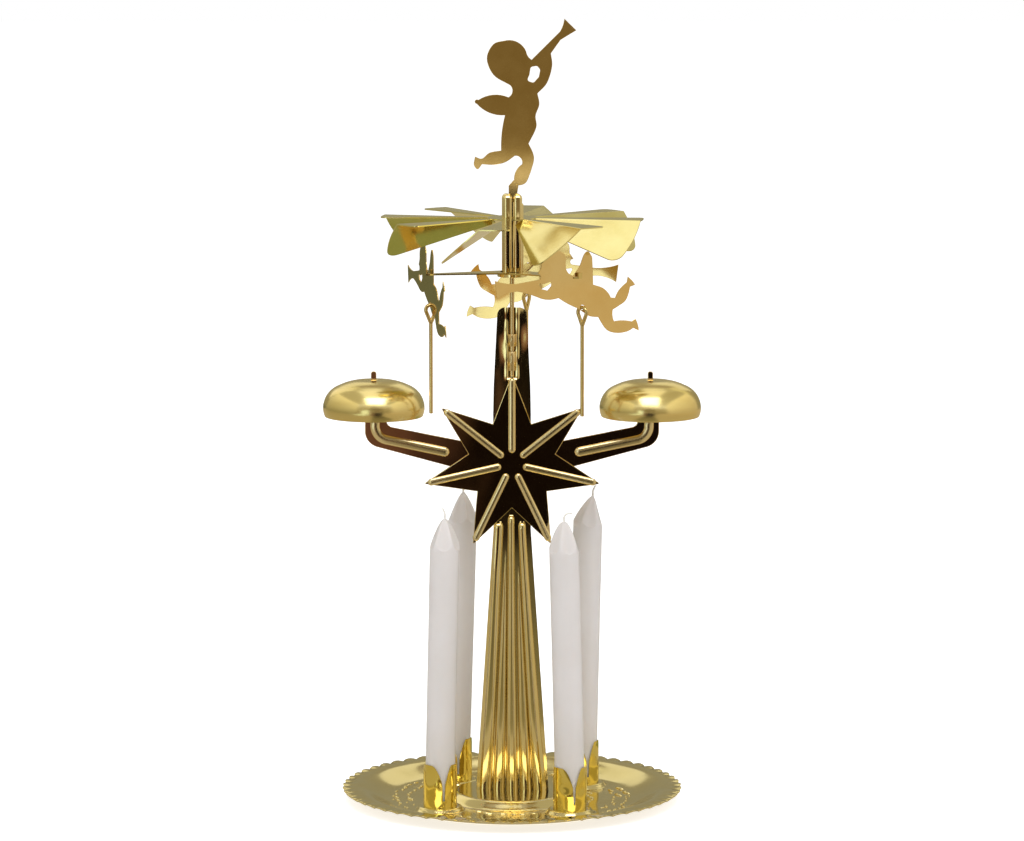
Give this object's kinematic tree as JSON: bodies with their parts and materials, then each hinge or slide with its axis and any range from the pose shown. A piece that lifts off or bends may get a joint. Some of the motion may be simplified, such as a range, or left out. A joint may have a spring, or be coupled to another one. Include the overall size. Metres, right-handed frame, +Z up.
{
  "type": "angel chime carousel",
  "caption": "Free-standing brass angel chime: a candle tray, a fluted tower with star and bells, and a fan-driven carousel of trumpeting angels with strikers.",
  "frame": {"origin": "on the table, at the centre of the tray and under the needle", "axes": "+Z up the needle, +X from the left bell to the right bell, -Y towards the viewer who faces the star"},
  "size_m": [0.16, 0.1448, 0.3331],
  "materials": {
    "tray": "satin",
    "cups": "polished",
    "wax": "smooth wax",
    "wick": "soft cotton",
    "tower": "polished",
    "needle": "drawn",
    "star": "polished",
    "yoke": "polished",
    "bells": "satin polished",
    "hub": "polished",
    "fan": "satin",
    "spider": "polished",
    "angels": "satin",
    "strikers": "drawn",
    "trumpeter": "satin"
  },
  "bodies": {
    "base": {"tray": "tray", "cup_front_left": "cups", "cup_front_right": "cups", "cup_back_right": "cups", "cup_back_left": "cups", "tower": "tower", "needle": "needle", "star": "star", "bell_yoke": "yoke"},
    "candle_front_left": {"candle_front_left": "wax", "wick_front_left": "wick"},
    "candle_front_right": {"candle_front_right": "wax", "wick_front_right": "wick"},
    "candle_back_right": {"candle_back_right": "wax", "wick_back_right": "wick"},
    "candle_back_left": {"candle_back_left": "wax", "wick_back_left": "wick"},
    "bell_left": {"bell_left": "bells"},
    "bell_right": {"bell_right": "bells"},
    "carousel": {"hub": "hub", "fan": "fan", "spider": "spider", "trumpeter": "trumpeter", "angel_front_left": "angels", "angel_front_right": "angels", "angel_back": "angels"},
    "striker_front_left": {"striker_front_left": "strikers"},
    "striker_front_right": {"striker_front_right": "strikers"},
    "striker_back": {"striker_back": "strikers"}
  },
  "joints": [
    {"name": "carousel_spin", "type": "hinge", "parent": "base", "child": "carousel", "pos_m": [0, 0, 0.2543], "axis": [0, 0, 1], "continuous": true},
    {"name": "bell_left_turn", "type": "hinge", "parent": "base", "child": "bell_left", "pos_m": [-0.0585, -0.0007, 0.1802], "axis": [0, 0, 1], "continuous": true},
    {"name": "bell_right_turn", "type": "hinge", "parent": "base", "child": "bell_right", "pos_m": [0.0585, -0.0007, 0.1802], "axis": [0, 0, 1], "continuous": true},
    {"name": "striker_front_left_swing", "type": "hinge", "parent": "carousel", "child": "striker_front_left", "pos_m": [-0.0341, -0.01108, 0.2138], "axis": [0.9659, 0.2588, 0], "range_deg": [-30, 8]},
    {"name": "striker_front_right_swing", "type": "hinge", "parent": "carousel", "child": "striker_front_right", "pos_m": [0.02937, -0.02056, 0.2138], "axis": [-0.4067, 0.9135, 0], "range_deg": [-15, 30]},
    {"name": "striker_back_swing", "type": "hinge", "parent": "carousel", "child": "striker_back", "pos_m": [0.00622, 0.03531, 0.2138], "axis": [-0.1736, -0.9848, 0], "range_deg": [-3, 30]},
    {"name": "candle_front_left_lift", "type": "slide", "parent": "base", "child": "candle_front_left", "axis": [0, 0, 1], "range_m": [0, 0.022]},
    {"name": "candle_front_right_lift", "type": "slide", "parent": "base", "child": "candle_front_right", "axis": [0, 0, 1], "range_m": [0, 0.022]},
    {"name": "candle_back_right_lift", "type": "slide", "parent": "base", "child": "candle_back_right", "axis": [0, 0, 1], "range_m": [0, 0.022]},
    {"name": "candle_back_left_lift", "type": "slide", "parent": "base", "child": "candle_back_left", "axis": [0, 0, 1], "range_m": [0, 0.022]}
  ]
}
